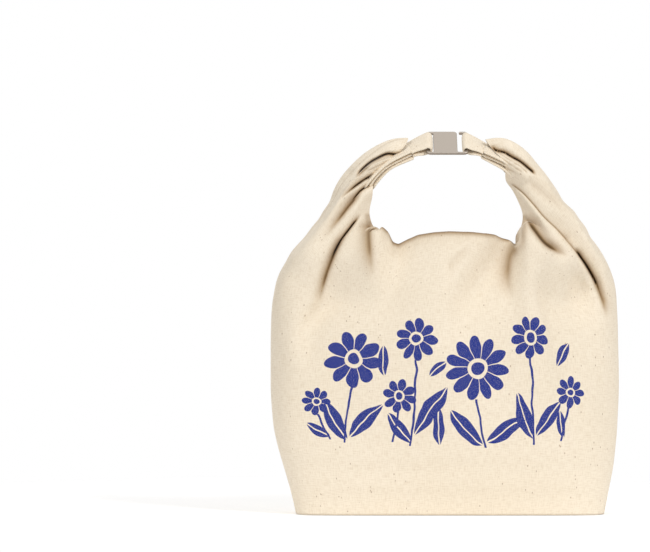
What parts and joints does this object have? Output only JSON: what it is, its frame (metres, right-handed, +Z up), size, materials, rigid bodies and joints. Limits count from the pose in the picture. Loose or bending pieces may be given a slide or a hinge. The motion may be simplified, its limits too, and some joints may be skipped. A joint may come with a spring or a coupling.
{
  "type": "canvas lunch bag",
  "caption": "Boxed canvas lunch bag with a rolled top whose ends bend up into a carrying handle and join at a metal hook clasp.",
  "frame": {"origin": "middle of the flat base, on the surface that the bag stands on", "axes": "+Z up, the front of the bag faces -Y, +X to the right seen from the front"},
  "size_m": [0.2458, 0.0978, 0.2726],
  "materials": {
    "canvas": "unbleached plain-weave cotton canvas",
    "band": "cotton band, plain weave, topstitched",
    "clasp_metal": "satin nickel plate"
  },
  "bodies": {
    "bag": {"front_panel": "canvas", "back_panel": "canvas", "base_panel": "canvas", "rolled_top": "band", "left_shoulder": "canvas", "right_shoulder": "canvas"},
    "handle": {"left_arm": "canvas", "left_rolled_end": "band", "right_arm": "canvas", "right_rolled_end": "band", "clasp_loop": "band"},
    "clasp": {"clasp": "clasp_metal"},
    "free_loop": {"hook_loop": "band"}
  },
  "joints": [
    {"name": "handle_tilt", "type": "hinge", "parent": "bag", "child": "handle", "pos_m": [0, 0, 0.19], "axis": [1, 0, 0], "range_deg": [-35, 35], "deforming": ["left_shoulder", "right_shoulder"]},
    {"name": "clasp_swing", "type": "hinge", "parent": "handle", "child": "clasp", "pos_m": [-0.01395, 0, 0.264], "axis": [0, 0.8192, 0.5736], "range_deg": [-90, 90]},
    {"name": "free_loop_lift", "type": "hinge", "parent": "handle", "child": "free_loop", "pos_m": [0.02851, 0, 0.25833], "axis": [-0.3604, 0.3746, -0.8543], "range_deg": [0, 60], "deforming": ["hook_loop"]}
  ]
}
